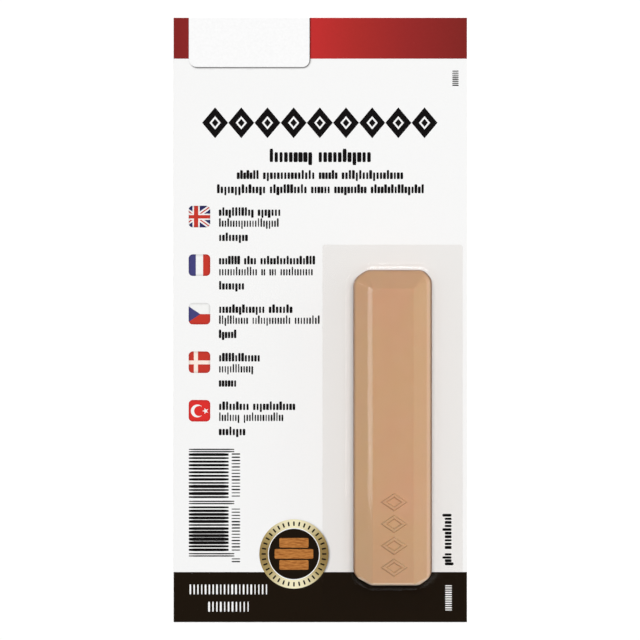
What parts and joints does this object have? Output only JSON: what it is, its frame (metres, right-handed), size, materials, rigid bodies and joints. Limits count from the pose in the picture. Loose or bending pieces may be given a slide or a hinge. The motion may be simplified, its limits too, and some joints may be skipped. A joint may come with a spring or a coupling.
{
  "type": "furniture repair wax stick on a blister card",
  "caption": "Faceted stick of coloured repair wax and a flat spatula under a clear blister that peels from a printed display card.",
  "frame": {"origin": "middle of the card's back face, on the surface that the pack lies on", "axes": "+X to the right across the printed face, +Y up the card towards the coloured band, +Z out of the printed face"},
  "size_m": [0.0746, 0.1536, 0.0134],
  "materials": {
    "board": "coated white board with a semi-gloss print",
    "spatula_plastic": "natural moulded plastic, satin",
    "wax": "cast wax, satin, light brown",
    "clear_film": "clear thermoformed film, glossy"
  },
  "bodies": {
    "card": {"backing_card": "board"},
    "blister": {"clear_blister": "clear_film"},
    "stick": {"wax_stick": "wax"},
    "spatula": {"spatula": "spatula_plastic"}
  },
  "joints": [
    {"name": "blister_peel", "type": "hinge", "parent": "card", "child": "blister", "pos_m": [0.01835, 0.0191, 0.0008], "axis": [-1, 0, 0], "range_deg": [0, 110]},
    {"name": "stick_play", "type": "slide", "parent": "card", "child": "stick", "axis": [0, 1, 0], "range_m": [-0.0009, 0.0009]},
    {"name": "spatula_play", "type": "slide", "parent": "card", "child": "spatula", "axis": [0, 1, 0], "range_m": [-0.0035, 0.0035]}
  ]
}
